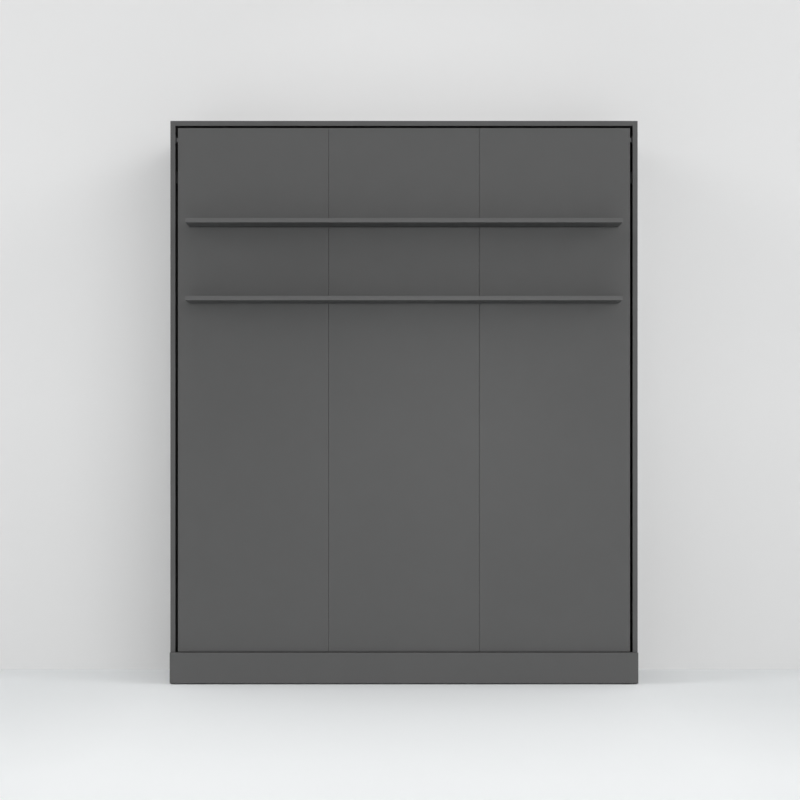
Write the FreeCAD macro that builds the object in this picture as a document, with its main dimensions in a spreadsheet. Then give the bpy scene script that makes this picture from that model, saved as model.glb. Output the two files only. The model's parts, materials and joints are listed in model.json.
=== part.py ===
"""Vertical wall bed: a board cabinet that stands against the wall, with a double bed that tilts out of it.

Frame: X runs across the width, +Y points at the wall and +Z up. The origin is on the floor at the wall,
midway across. The bed is modelled shut. It opens by turning 90 degrees about the X axis through the two
pivot pins.
"""

import FreeCAD
import Part
import Sketcher

import math
import os
from types import SimpleNamespace

# Driving dimensions, in millimetres and degrees
DIMENSIONS = {
    # Boards of the cabinet and the front
    "board": 19,
    "board_edge": 1,
    "back_thickness": 8,
    "back_rail_height": 100,
    "joiner_width": 24,
    "joiner_sheet": 1.5,
    "plinth_height": 122,
    "plinth_thickness": 22,
    "plinth_gap": 4,
    # Front panel and its shelves
    "panel_reveal": 10.5,
    "panel_top_gap": 9,
    "panel_lift": 2,
    "panel_joint": 0.8,
    "shelf_thickness": 16,
    "shelf_inset": 44,
    "upper_shelf_drop": 366,
    "shelf_spacing": 296,
    # Mattress and the space behind it
    "mattress_width": 1600,
    "mattress_length": 2000,
    "mattress_depth": 220,
    "mattress_edge": 28,
    "mattress_padding": 15,
    "mattress_side_gap": 3,
    "mattress_end_gap": 14,
    "mattress_base": 54,
    "bedding_space": 169,
    "rest_gap": 0.3,
    # Steel bed frame
    "rail_width": 30,
    "rail_depth": 60,
    "rail_wall": 2,
    "rail_corner": 3,
    "rail_inset": 3,
    "end_rail_depth": 50,
    "lower_cross_height": 690,
    "upper_cross_drop": 252,
    "cap_flange": 2,
    "cap_insert": 12,
    # Slats and their holders
    "slat_width": 68,
    "slat_thickness": 12,
    "slat_margin": 12,
    "slat_middle_gap": 8,
    "holder_base": 1.7,
    "holder_wall": 3,
    "holder_length": 22,
    "holder_fit": 0.2,
    # Mattress straps
    "strap_width": 40,
    "strap_thickness": 1.2,
    "strap_anchor_width": 46,
    "anchor_clearance": 2,
    "buckle_width": 54,
    "buckle_length": 38,
    "buckle_height": 7,
    "buckle_bar": 5,
    # Pivot and its plates
    "mechanism_gap": 53,
    "plate_thickness": 5,
    "plate_margin": 38,
    "plate_rear_margin": 27,
    "plate_screw_edge": 12,
    "plate_top": 150,
    "pivot_setback": 165,
    "open_clearance": 9,
    "floor_clearance": 1,
    "pin_diameter": 16,
    "pin_flange_diameter": 30,
    "pin_flange_thickness": 4,
    "pin_overhang": 3,
    "retainer_thickness": 3,
    "retainer_diameter": 27,
    "boss_diameter": 38,
    "boss_length": 20,
    "boss_rim": 9,
    "bush_wall": 3,
    "bush_flange": 3,
    "running_fit": 0.2,
    # Gas springs
    "spring_angle": 165,
    "stud_edge": 21,
    "stud_diameter": 10,
    "stud_shoulder": 18,
    "stud_cap": 3,
    "eye_diameter": 22,
    "eye_width": 14,
    "cylinder_diameter": 24,
    "cylinder_wall": 2.5,
    "cylinder_neck": 3,
    "cylinder_end": 8,
    "gland_length": 16,
    "rod_diameter": 12,
    "piston_length": 12,
    "stroke_reserve": 5,
    # Fasteners
    "dowel_diameter": 8,
    "dowel_in_side": 14,
    "dowel_in_end": 20,
    "dowel_in_plinth": 12,
    "dowel_inset": 28,
    "hole_fit": 0.15,
    "screw_diameter": 5,
    "screw_depth": 14,
    "screw_head_diameter": 9,
    "screw_head_height": 2,
    "screw_end_gap": 75,
    "cross_length": 5,
    "cross_width": 1.2,
    "cross_depth": 1.2,
    "bolt_diameter": 8,
    "bolt_head_diameter": 14,
    "bolt_head_height": 5,
    "socket_width": 6,
    "socket_depth": 3.5,
    "plate_bolt_grip": 14,
    "shelf_bolt_depth": 70,
    "access_hole_diameter": 12,
    "bracket_leg": 30,
    "bracket_sheet": 3,
    "bracket_height": 64,
    "wall_hole_spacing": 1200,
    "wall_hole_diameter": 8,
    # Catches and stops at the top corners
    "catch_drop": 45,
    "catch_height": 22,
    "catch_depth": 11,
    "catch_length": 35,
    "catch_floor": 7,
    "catch_wall": 2,
    "catch_spring": 9,
    "spring_wire": 0.8,
    "plunger_reach": 7,
    "nose_flat": 0.4,
    "strike_thickness": 3,
    "strike_height": 30,
    "stop_drop": 190,
    "stop_height": 45,
    "stop_width": 22,
    "stop_depth": 20,
}

SIDES = {"left": -1, "right": 1}
OPENING_ANGLE = 90
FRONT_BOARDS = 3
DOWELS_PER_TOP_JOINT = 3
BOLTS_PER_SHELF = 6
SCREWS_PER_RAIL = 5
BOLTS_PER_BED_PLATE = 4
SPRING_TURNS = 4
SPRING_POINTS = 240
QUARTERS_PER_TURN = 4
BOX_EDGES = 12
SOCKET_SIDES = 6
STRAP_LEVELS = ("lower", "upper")
# Two places closer than this are one
TOUCH = 0.01

doc = FreeCAD.newDocument("wall_bed")
sheet = doc.addObject("Spreadsheet::Sheet", "Sizes")
for row, (alias, number) in enumerate(DIMENSIONS.items(), start=1):
    sheet.set(f"A{row}", alias)
    sheet.set(f"B{row}", str(number))
    sheet.setAlias(f"B{row}", alias)
doc.recompute()


class Size:
    """A length or an angle worked out from the sheet, with the formula that properties are bound to."""

    def __init__(self, formula, value):
        self.formula = formula
        self.value = value

    def __add__(self, other):
        other = size(other)
        return Size(f"({self.formula} + {other.formula})", self.value + other.value)

    def __sub__(self, other):
        other = size(other)
        return Size(f"({self.formula} - {other.formula})", self.value - other.value)

    def __mul__(self, other):
        other = size(other)
        return Size(f"({self.formula} * {other.formula})", self.value * other.value)

    def __truediv__(self, other):
        other = size(other)
        return Size(f"({self.formula} / {other.formula})", self.value / other.value)

    def __neg__(self):
        return Size(f"(-1 * {self.formula})", -self.value)

    def __radd__(self, other):
        return size(other) + self

    def __rmul__(self, other):
        return size(other) * self


def size(thing):
    """The thing itself if it is a Size, or a Size that holds the plain number."""
    return thing if isinstance(thing, Size) else Size(f"({thing})", thing)


def sine(angle):
    return Size(f"sin({angle.formula})", math.sin(math.radians(angle.value)))


def cosine(angle):
    return Size(f"cos({angle.formula})", math.cos(math.radians(angle.value)))


def root(area):
    return Size(f"sqrt({area.formula})", math.sqrt(area.value))


def bearing(run, rise):
    """The angle in degrees from the run towards the rise."""
    formula = f"(atan2({rise.formula}; {run.formula}) / 1 deg)"
    return Size(formula, math.degrees(math.atan2(rise.value, run.value)))


def spread(low, high, count):
    """Evenly spaced places from low to high."""
    return [low + (high - low) * (i / (count - 1)) for i in range(count)]


dim = SimpleNamespace(**{alias: Size(f"Sizes.{alias}", getattr(sheet, alias)) for alias in DIMENSIONS})

# Across the width, measured out from the middle
mattress_half = dim.mattress_width / 2
rail_inner = mattress_half + dim.mattress_side_gap
rail_outer = rail_inner + dim.rail_width
side_inner = rail_outer + dim.mechanism_gap
side_outer = side_inner + dim.board
panel_half = side_inner - dim.panel_reveal
shelf_half = panel_half - dim.shelf_inset
bed_plate_face = rail_outer + dim.plate_thickness
cabinet_plate_face = side_inner - dim.plate_thickness
spring_plane = (bed_plate_face + cabinet_plate_face) / 2
boss_end = rail_outer - dim.boss_length

# From the front to the wall
wall = size(0)
back_face = -dim.back_thickness
mattress_back = back_face - dim.bedding_space
mattress_front = mattress_back - dim.mattress_depth
panel_back = mattress_front - dim.mattress_base
front = panel_back - dim.board
slat_top = mattress_front - dim.rest_gap
slat_underside = slat_top - dim.slat_thickness
beam_top = slat_underside - dim.holder_base
back_rail_face = -dim.board

# Up from the floor
floor = size(0)
panel_bottom = dim.plinth_height + dim.panel_lift
mattress_low = panel_bottom + dim.mattress_end_gap
mattress_high = mattress_low + dim.mattress_length
panel_top = mattress_high + dim.mattress_end_gap
top_underside = panel_top + dim.panel_top_gap
cabinet_top = top_underside + dim.board
upper_rail_low = top_underside - dim.back_rail_height
frame_low = panel_bottom + dim.rail_inset
frame_high = panel_top - dim.rail_inset
shelf_tops = {"upper": panel_top - dim.upper_shelf_drop}
shelf_tops["lower"] = shelf_tops["upper"] - dim.shelf_spacing
catch_height_centre = panel_top - dim.catch_drop

# Pivot: open, the front lies just above the plinth, and the shelves reach down to the floor as feet
open_height = dim.plinth_height + dim.open_clearance
shelf_depth = open_height - dim.floor_clearance
pivot_y = front + dim.pivot_setback
pivot_z = open_height + dim.pivot_setback

# Gas spring: both studs lie on one circle round the pivot, so the spring turns by half the bed's angle
bed_stud = (panel_back + dim.stud_edge, panel_bottom + dim.stud_edge)
arm_y = bed_stud[0] - pivot_y
arm_z = bed_stud[1] - pivot_z
stud_circle = root(arm_y * arm_y + arm_z * arm_z)
cabinet_stud = (
    pivot_y + arm_y * cosine(dim.spring_angle) - arm_z * sine(dim.spring_angle),
    pivot_z + arm_y * sine(dim.spring_angle) + arm_z * cosine(dim.spring_angle),
)
spring_open = 2 * stud_circle * sine((dim.spring_angle - OPENING_ANGLE) / 2)
cylinder_tilt = bearing(arm_y, arm_z) + dim.spring_angle / 2 - 90
rod_tilt = cylinder_tilt + 180
eye_radius = dim.eye_diameter / 2
cylinder_start = eye_radius + dim.cylinder_neck
chamber_start = cylinder_start + dim.cylinder_end
cylinder_mouth = spring_open - eye_radius - dim.stroke_reserve
rod_reach = spring_open - chamber_start - dim.stroke_reserve

# Places that several pieces share
pair_depths = spread(front + dim.dowel_inset, -dim.dowel_inset, DOWELS_PER_TOP_JOINT)
cross_dowels = {
    "top": [(y, top_underside + dim.board / 2) for y in pair_depths],
    "upper": [
        (back_rail_face / 2, upper_rail_low + dim.dowel_inset),
        (back_rail_face / 2, top_underside - dim.dowel_inset),
    ],
    "lower": [
        (back_rail_face / 2, floor + dim.dowel_inset),
        (back_rail_face / 2, dim.plinth_height - dim.dowel_inset),
    ],
}
plinth_dowel_heights = [floor + dim.dowel_inset, dim.plinth_height - dim.dowel_inset]
wall_hole_heights = {
    "upper": (upper_rail_low + top_underside) / 2,
    "lower": (floor + dim.plinth_height) / 2,
}
screw_inset = dim.plate_margin - dim.plate_screw_edge
cabinet_plate_screws = [
    (pivot_y - screw_inset, pivot_z - screw_inset),
    (pivot_y - screw_inset, pivot_z + screw_inset),
    (pivot_y + screw_inset, pivot_z - screw_inset),
    (cabinet_stud[0] - screw_inset / 2, cabinet_stud[1] + screw_inset),
    (cabinet_stud[0] + screw_inset / 2, cabinet_stud[1] - screw_inset),
]
rail_middle = panel_back + dim.rail_depth / 2
bed_plate_low = frame_low
bed_plate_high = pivot_z + dim.plate_top
bed_bolts = [
    (rail_middle, z)
    for z in spread(
        bed_stud[1] + dim.plate_margin,
        bed_plate_high - dim.plate_margin / 2,
        BOLTS_PER_BED_PLATE,
    )
]
screw_rows = {
    "left": -(rail_inner + dim.rail_width / 2),
    "middle": size(0),
    "right": rail_inner + dim.rail_width / 2,
}
screw_heights = spread(
    frame_low + dim.screw_end_gap,
    frame_high - dim.screw_end_gap,
    SCREWS_PER_RAIL,
)
shelf_bolt_spread = shelf_half * ((BOLTS_PER_SHELF - 1) / BOLTS_PER_SHELF)
shelf_bolt_places = spread(-shelf_bolt_spread, shelf_bolt_spread, BOLTS_PER_SHELF)
board_width = (panel_half * 2 - dim.panel_joint * (FRONT_BOARDS - 1)) / FRONT_BOARDS
middle_half = board_width / 2
outer_start = middle_half + dim.panel_joint
slat_first = frame_low + dim.rail_width + dim.slat_margin + dim.slat_width / 2
slat_last = frame_high - dim.rail_width - dim.slat_margin - dim.slat_width / 2
slat_gap = dim.strap_anchor_width + (dim.holder_wall + dim.anchor_clearance) * 2
slat_gaps = int(((slat_last - slat_first) / (dim.slat_width + slat_gap)).value)
slat_heights = spread(slat_first, slat_last, slat_gaps + 1)
strap_slats = {
    level: int(slat_gaps * (i + 0.5) / len(STRAP_LEVELS)) for i, level in enumerate(STRAP_LEVELS)
}
strap_heights = {level: (slat_heights[i] + slat_heights[i + 1]) / 2 for level, i in strap_slats.items()}
strap_inner = mattress_half + dim.rest_gap
strap_outer = strap_inner + dim.strap_thickness
strap_end = beam_top + dim.rest_gap
catch_middle = front + dim.board / 2
chamber_radius = dim.cylinder_diameter / 2 - dim.cylinder_wall

pieces = {}


def keep(label, thing):
    """Name a finished piece, so that it is written out."""
    thing.Label = label
    pieces[label] = thing
    return thing


def outward(side, inner, outer):
    """The span between two distances from the middle, on the given side."""
    return (inner, outer) if side > 0 else (-outer, -inner)


def bind_place(thing, place):
    for axis, value in zip("xyz", place):
        thing.setExpression(f"Placement.Base.{axis}", size(value).formula)


def block(name, x, y, z):
    """A block between two faces on each axis."""
    thing = doc.addObject("Part::Box", name)
    for edge, (low, high) in zip(("Length", "Width", "Height"), (x, y, z)):
        thing.setExpression(edge, (size(high) - low).formula)
    bind_place(thing, (x[0], y[0], z[0]))
    return thing


ROUND_TURNS = {
    "x": FreeCAD.Rotation(FreeCAD.Vector(0, 1, 0), 90),
    "y": FreeCAD.Rotation(FreeCAD.Vector(1, 0, 0), -90),
}


def lay(thing, axis, along, centre):
    """Lay a bar along X or Y, with its centre given in the other two coordinates."""
    thing.Placement = FreeCAD.Placement(FreeCAD.Vector(), ROUND_TURNS[axis])
    thing.setExpression("Height", (size(along[1]) - along[0]).formula)
    place = list(centre)
    place.insert("xyz".index(axis), along[0])
    bind_place(thing, place)
    return thing


def bar(name, axis, along, centre, diameter):
    """A round bar along X or Y."""
    thing = doc.addObject("Part::Cylinder", name)
    thing.setExpression("Radius", (size(diameter) / 2).formula)
    return lay(thing, axis, along, centre)


def fuse(name, parts):
    thing = doc.addObject("Part::MultiFuse", name)
    thing.Shapes = parts
    thing.Refine = True
    return thing


def cut(name, base, tools):
    thing = doc.addObject("Part::Cut", name)
    thing.Base = base
    thing.Tool = tools[0] if len(tools) == 1 else fuse(f"{name}_tools", tools)
    return thing


def group(name, solids):
    """Separate solids that make up one named piece."""
    thing = doc.addObject("Part::Compound", name)
    thing.Links = solids
    return thing


def rounded(name, base, radius, edges=range(1, BOX_EDGES + 1)):
    thing = doc.addObject("Part::Fillet", name)
    thing.Base = base
    thing.Edges = [(edge, radius.value, radius.value) for edge in edges]
    return thing


def board(name, x, y, z):
    """A board with softly rounded edges."""
    return rounded(f"{name}_board", block(f"{name}_blank", x, y, z), dim.board_edge)


def bevelled(name, x, y, z, run):
    """A block whose four long edges, along X, Y or Z, are rounded as a steel tube's are."""
    blank = block(f"{name}_blank", x, y, z)
    doc.recompute([blank])
    axis = "xyz".index(run)
    long_edges = [
        number
        for number, edge in enumerate(blank.Shape.Edges, start=1)
        if abs(edge.Vertexes[0].Point[axis] - edge.Vertexes[1].Point[axis]) > TOUCH
    ]
    return rounded(name, blank, dim.rail_corner, long_edges)


def tube(name, x, y, z, run):
    """A rectangular steel tube, open at both ends of its run."""
    spans = [x, y, z]
    inner = [
        span if axis == run else (size(span[0]) + dim.rail_wall, size(span[1]) - dim.rail_wall)
        for axis, span in zip("xyz", spans)
    ]
    return cut(f"{name}_tube", bevelled(f"{name}_outer", *spans, run), [block(f"{name}_inner", *inner)])


def hex_socket(name, axis, along, centre):
    """The six-sided recess of a bolt."""
    thing = doc.addObject("Part::Prism", name)
    thing.Polygon = SOCKET_SIDES
    thing.setExpression("Circumradius", (dim.socket_width / 2 / math.cos(math.pi / SOCKET_SIDES)).formula)
    return [lay(thing, axis, along, centre)]


def cross_slots(name, axis, along, centre):
    """The two crossed slots of a screw."""
    slots = []
    for lengths in ((dim.cross_length, dim.cross_width), (dim.cross_width, dim.cross_length)):
        spans = [(middle - length / 2, middle + length / 2) for middle, length in zip(centre, lengths)]
        spans.insert("xyz".index(axis), along)
        slots.append(block(name, *spans))
    return slots


def headed(name, axis, head, shank, centre, diameters, recess, depth):
    """A round head with a recess for the driver, on a shank that it meets in one plane."""
    blank = fuse(
        f"{name}_blank",
        [
            bar(f"{name}_head", axis, head, centre, diameters[0]),
            bar(f"{name}_shank", axis, shank, centre, diameters[1]),
        ],
    )
    head_first = size(head[0]).value < size(shank[0]).value
    sunk = (head[0], head[0] + depth) if head_first else (head[1] - depth, head[1])
    return cut(name, blank, recess(f"{name}_recess", axis, sunk, centre))


def bolt(name, axis, head, shank, centre):
    diameters = (dim.bolt_head_diameter, dim.bolt_diameter)
    return headed(name, axis, head, shank, centre, diameters, hex_socket, dim.socket_depth)


def screw(name, axis, head, shank, centre):
    diameters = (dim.screw_head_diameter, dim.screw_diameter)
    return headed(name, axis, head, shank, centre, diameters, cross_slots, dim.cross_depth)


def plate(name, side, face, corners, holes, thickness):
    """A steel plate with an outline in Y and Z, and its outer face at a distance from the middle."""
    body = doc.addObject("PartDesign::Body", name)
    outline = body.newObject("Sketcher::SketchObject", f"{name}_outline")
    attach(outline, body)
    count = len(corners)
    for i in range(count):
        ends = [FreeCAD.Vector(y.value, z.value, 0) for y, z in (corners[i], corners[(i + 1) % count])]
        outline.addGeometry(Part.LineSegment(*ends), False)
    for i in range(count):
        outline.addConstraint(Sketcher.Constraint("Coincident", i, 2, (i + 1) % count, 1))
    for i, corner in enumerate(corners):
        pin_point(outline, i, 1, corner)
    for centre, diameter in holes:
        circle(outline, centre, diameter)
    sheet_metal = body.newObject("PartDesign::Pad", f"{name}_pad")
    sheet_metal.Profile = outline
    sheet_metal.Reversed = side > 0
    sheet_metal.setExpression("Length", thickness.formula)
    body.setExpression("Placement.Base.x", (side * face).formula)
    return body


def attach(sketch, body):
    upright = next(plane for plane in body.Origin.OriginFeatures if plane.Role == "YZ_Plane")
    sketch.AttachmentSupport = [(upright, "")]
    sketch.MapMode = "FlatFace"


def pin_point(sketch, edge, end, place):
    """Hold one point of a sketch at a place that follows the sheet."""
    for kind, value in zip(("DistanceX", "DistanceY"), place):
        index = sketch.addConstraint(Sketcher.Constraint(kind, -1, 1, edge, end, value.value))
        sketch.setExpression(f"Constraints[{index}]", value.formula)


def circle(sketch, centre, diameter):
    middle = FreeCAD.Vector(centre[0].value, centre[1].value, 0)
    ring = Part.Circle(middle, FreeCAD.Vector(0, 0, 1), diameter.value / 2)
    edge = sketch.addGeometry(ring, False)
    pin_point(sketch, edge, 3, centre)
    index = sketch.addConstraint(Sketcher.Constraint("Diameter", edge, diameter.value))
    sketch.setExpression(f"Constraints[{index}]", diameter.formula)


def hole(diameter):
    """The hole that takes a fastener of this diameter."""
    return diameter + dim.hole_fit * 2


# Cabinet boards
def side_panel(hand, side):
    name = f"{hand}_side_panel"
    blank = board(name, outward(side, side_inner, side_outer), (front, wall), (floor, cabinet_top))
    into_side = outward(side, side_inner, side_inner + dim.dowel_in_side + dim.hole_fit)
    spots = [spot for spots in cross_dowels.values() for spot in spots]
    holes = [
        bar(f"{name}_dowel_hole", "x", into_side, spot, hole(dim.dowel_diameter)) for spot in spots
    ]
    into_edge = (front, front + dim.dowel_in_end + dim.hole_fit)
    middle = side * (side_inner + dim.board / 2)
    holes += [
        bar(f"{name}_edge_hole", "y", into_edge, (middle, z), hole(dim.dowel_diameter))
        for z in plinth_dowel_heights
    ]
    screw_span = outward(side, side_inner, side_inner + dim.screw_depth + dim.hole_fit)
    holes += [
        bar(f"{name}_screw_hole", "x", screw_span, spot, hole(dim.screw_diameter))
        for spot in cabinet_plate_screws
    ]
    keep(name, cut(name, blank, holes))


def dowel_holes(name, spots):
    """Holes in both ends of a board that lies between the sides."""
    return [
        bar(
            f"{name}_{hand}_hole",
            "x",
            outward(side, side_inner - dim.dowel_in_end - dim.hole_fit, side_inner),
            spot,
            hole(dim.dowel_diameter),
        )
        for hand, side in SIDES.items()
        for spot in spots
    ]


def top_panel():
    name = "top_panel"
    blank = board(name, (-side_inner, side_inner), (front, wall), (top_underside, cabinet_top))
    keep(name, cut(name, blank, dowel_holes(name, cross_dowels["top"])))


def back_rail(level, low, high):
    name = f"{level}_back_rail"
    blank = block(f"{name}_blank", (-side_inner, side_inner), (back_rail_face, wall), (low, high))
    holes = dowel_holes(name, cross_dowels[level])
    holes += [
        bar(
            f"{name}_wall_hole",
            "y",
            (back_rail_face, wall),
            (side * dim.wall_hole_spacing / 2, wall_hole_heights[level]),
            dim.wall_hole_diameter,
        )
        for side in SIDES.values()
    ]
    keep(name, cut(name, blank, holes))


def plinth():
    name = "plinth_board"
    plinth_front = front - dim.plinth_thickness
    heights = (floor + dim.plinth_gap, dim.plinth_height)
    blank = board(name, (-side_outer, side_outer), (plinth_front, front), heights)
    into_back = (front - dim.dowel_in_plinth - dim.hole_fit, front)
    holes = [
        bar(
            f"{name}_hole",
            "y",
            into_back,
            (side * (side_inner + dim.board / 2), z),
            hole(dim.dowel_diameter),
        )
        for side in SIDES.values()
        for z in plinth_dowel_heights
    ]
    keep(name, cut(name, blank, holes))


def back_panels():
    heights = (dim.plinth_height, upper_rail_low)
    web = dim.joiner_sheet / 2
    for hand, side in SIDES.items():
        name = f"back_panel_{hand}"
        keep(name, block(name, outward(side, web, side_inner), (back_face, wall), heights))
    flange_half = dim.joiner_width / 2
    strip = [
        block("back_joiner_web", (-web, web), (back_face, wall), heights),
        block(
            "back_joiner_flange",
            (-flange_half, flange_half),
            (back_face - dim.joiner_sheet, back_face),
            heights,
        ),
    ]
    keep("back_joiner", fuse("back_joiner", strip))


def cabinet_dowels():
    pegs = []
    for side in SIDES.values():
        span = outward(side, side_inner - dim.dowel_in_end, side_inner + dim.dowel_in_side)
        for spots in cross_dowels.values():
            pegs += [bar("cross_dowel", "x", span, spot, dim.dowel_diameter) for spot in spots]
        middle = side * (side_inner + dim.board / 2)
        depth = (front - dim.dowel_in_plinth, front + dim.dowel_in_end)
        pegs += [
            bar("plinth_dowel", "y", depth, (middle, z), dim.dowel_diameter) for z in plinth_dowel_heights
        ]
    keep("cabinet_dowels", group("cabinet_dowels", pegs))


def plinth_brackets():
    middle = dim.plinth_height / 2
    heights = (middle - dim.bracket_height / 2, middle + dim.bracket_height / 2)
    angles = []
    for hand, side in SIDES.items():
        legs = [
            block(
                f"{hand}_bracket_side_leg",
                outward(side, side_inner - dim.bracket_sheet, side_inner),
                (front, front + dim.bracket_leg),
                heights,
            ),
            block(
                f"{hand}_bracket_front_leg",
                outward(side, side_inner - dim.bracket_leg, side_inner),
                (front, front + dim.bracket_sheet),
                heights,
            ),
        ]
        angles.append(fuse(f"{hand}_plinth_bracket", legs))
    keep("plinth_brackets", group("plinth_brackets", angles))


# Pivot hardware on the cabinet
def cabinet_plate(hand, side):
    name = f"{hand}_cabinet_plate"
    margin = dim.plate_margin
    rear = cabinet_stud[0] + dim.plate_rear_margin
    corners = [
        (pivot_y - margin, pivot_z - margin),
        (pivot_y + margin, pivot_z - margin),
        (rear, cabinet_stud[1] - margin),
        (rear, cabinet_stud[1] + margin),
        (cabinet_stud[0] - margin, cabinet_stud[1] + margin),
        (pivot_y - margin, pivot_z + margin),
    ]
    holes = [((pivot_y, pivot_z), hole(dim.pin_diameter)), (cabinet_stud, hole(dim.stud_diameter))]
    holes += [(spot, hole(dim.screw_diameter)) for spot in cabinet_plate_screws]
    keep(name, plate(name, side, side_inner, corners, holes, dim.plate_thickness))


def pivot_pin(hand, side):
    name = f"{hand}_pivot_pin"
    tip = boss_end - dim.rest_gap - dim.retainer_thickness - dim.pin_overhang
    flange_face = cabinet_plate_face - dim.pin_flange_thickness
    centre = (pivot_y, pivot_z)
    shank = bar(f"{name}_shank", "x", outward(side, tip, side_inner), centre, dim.pin_diameter)
    flange = bar(
        f"{name}_flange",
        "x",
        outward(side, flange_face, cabinet_plate_face),
        centre,
        dim.pin_flange_diameter,
    )
    keep(name, fuse(name, [shank, flange]))


def pivot_retainers():
    rings = []
    outer_face = boss_end - dim.rest_gap
    for hand, side in SIDES.items():
        span = outward(side, outer_face - dim.retainer_thickness, outer_face)
        centre = (pivot_y, pivot_z)
        ring = bar(f"{hand}_retainer_disc", "x", span, centre, dim.retainer_diameter)
        bore = bar(f"{hand}_retainer_bore", "x", span, centre, hole(dim.pin_diameter))
        rings.append(cut(f"{hand}_pivot_retainer", ring, [bore]))
    keep("pivot_retainers", group("pivot_retainers", rings))


def spring_stud(name, side, root_face, plate_face, centre, inward):
    """A shouldered stud that carries a spring's eye and keeps it on with a cap."""
    eye_half = dim.eye_width / 2 + dim.rest_gap
    direction = -1 if inward else 1
    shoulder_end = spring_plane - direction * eye_half
    cap_start = spring_plane + direction * eye_half
    tip = cap_start + direction * dim.stud_cap

    def span(first, last):
        return outward(side, last, first) if inward else outward(side, first, last)

    return fuse(
        name,
        [
            bar(f"{name}_shank", "x", span(root_face, tip), centre, dim.stud_diameter),
            bar(f"{name}_shoulder", "x", span(plate_face, shoulder_end), centre, dim.stud_shoulder),
            bar(f"{name}_cap", "x", span(cap_start, tip), centre, dim.stud_shoulder),
        ],
    )


def cabinet_studs():
    studs = [
        spring_stud(f"{hand}_cabinet_stud", side, side_inner, cabinet_plate_face, cabinet_stud, True)
        for hand, side in SIDES.items()
    ]
    keep("cabinet_spring_studs", group("cabinet_spring_studs", studs))


def cabinet_screws():
    screws = []
    for hand, side in SIDES.items():
        head = outward(side, cabinet_plate_face - dim.screw_head_height, cabinet_plate_face)
        shank = outward(side, cabinet_plate_face, side_inner + dim.screw_depth)
        screws += [
            screw(f"{hand}_plate_screw", "x", head, shank, spot)
            for spot in cabinet_plate_screws
        ]
    keep("cabinet_plate_screws", group("cabinet_plate_screws", screws))


def strike_plates():
    strikes = []
    groove = dim.catch_depth / 2 + dim.rest_gap
    half = dim.strike_height / 2
    heights = (catch_height_centre - half, catch_height_centre + half)
    for hand, side in SIDES.items():
        span = outward(side, side_inner - dim.strike_thickness, side_inner)
        strip = block(
            f"{hand}_strike_strip",
            span,
            (front + dim.board_edge, catch_middle * 2 - front - dim.board_edge),
            heights,
        )
        slot = block(
            f"{hand}_strike_groove",
            outward(side, side_inner - dim.strike_thickness, side_inner - dim.strike_thickness / 2),
            (catch_middle - groove, catch_middle + groove),
            heights,
        )
        strikes.append(cut(f"{hand}_strike_plate", strip, [slot]))
    keep("strike_plates", group("strike_plates", strikes))


def closing_stops():
    face = panel_back + dim.rest_gap
    middle = panel_top - dim.stop_drop
    pads = [
        rounded(
            f"{hand}_closing_stop",
            block(
                f"{hand}_stop_block",
                outward(side, side_inner - dim.stop_width, side_inner),
                (face, face + dim.stop_depth),
                (middle - dim.stop_height / 2, middle + dim.stop_height / 2),
            ),
            dim.board_edge,
        )
        for hand, side in SIDES.items()
    ]
    keep("closing_stops", group("closing_stops", pads))


# Front panel and shelves
def front_board(place, x, screw_row, catch_side=0):
    name = f"front_panel_{place}"
    blank = board(name, x, (front, panel_back), (panel_bottom, panel_top))
    screw_span = (panel_back - dim.screw_depth - dim.hole_fit, panel_back)
    holes = [
        bar(f"{name}_screw_hole", "y", screw_span, (screw_row, z), hole(dim.screw_diameter))
        for z in screw_heights
    ]
    low, high = (size(end).value for end in x)
    holes += [
        bar(
            f"{name}_bolt_hole",
            "y",
            (front, panel_back),
            (spot, top - dim.shelf_thickness / 2),
            hole(dim.bolt_diameter),
        )
        for spot in shelf_bolt_places
        if low < spot.value < high
        for top in shelf_tops.values()
    ]
    if catch_side:
        holes.append(catch_block(f"{name}_pocket", catch_side))
    keep(name, cut(name, blank, holes))


def shelf(level):
    name = f"{level}_shelf"
    top = shelf_tops[level]
    heights = (top - dim.shelf_thickness, top)
    blank = board(name, (-shelf_half, shelf_half), (front - shelf_depth, front), heights)
    span = (front - dim.shelf_bolt_depth - dim.hole_fit, front)
    holes = [
        bar(f"{name}_hole", "y", span, (spot, top - dim.shelf_thickness / 2), hole(dim.bolt_diameter))
        for spot in shelf_bolt_places
    ]
    keep(name, cut(name, blank, holes))


def shelf_bolts():
    bolts = [
        bolt(
            f"{level}_shelf_bolt",
            "y",
            (panel_back, panel_back + dim.bolt_head_height),
            (front - dim.shelf_bolt_depth, panel_back),
            (spot, top - dim.shelf_thickness / 2),
        )
        for level, top in shelf_tops.items()
        for spot in shelf_bolt_places
    ]
    keep("shelf_bolts", group("shelf_bolts", bolts))


# Steel bed frame
def panel_screw_holes(name, row, depth_end):
    """Through both walls of a tube: a screw hole at the panel and a wider one for the driver."""
    middle = (panel_back + depth_end) / 2
    near = [
        bar(f"{name}_screw_hole", "y", (panel_back, middle), (row, z), hole(dim.screw_diameter))
        for z in screw_heights
    ]
    far = [
        bar(f"{name}_access_hole", "y", (middle, depth_end), (row, z), dim.access_hole_diameter)
        for z in screw_heights
    ]
    return near + far


def side_rail(hand, side):
    name = f"{hand}_side_rail"
    depth_end = panel_back + dim.rail_depth
    span = outward(side, rail_inner, rail_outer)
    profile = tube(name, span, (panel_back, depth_end), (frame_low, frame_high), "z")
    holes = panel_screw_holes(name, screw_rows[hand], depth_end)
    outer_wall = outward(side, rail_inner + dim.rail_width / 2, rail_outer)
    holes += [bar(f"{name}_bolt_hole", "x", outer_wall, spot, hole(dim.bolt_diameter)) for spot in bed_bolts]
    keep(name, cut(name, profile, holes))


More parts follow.
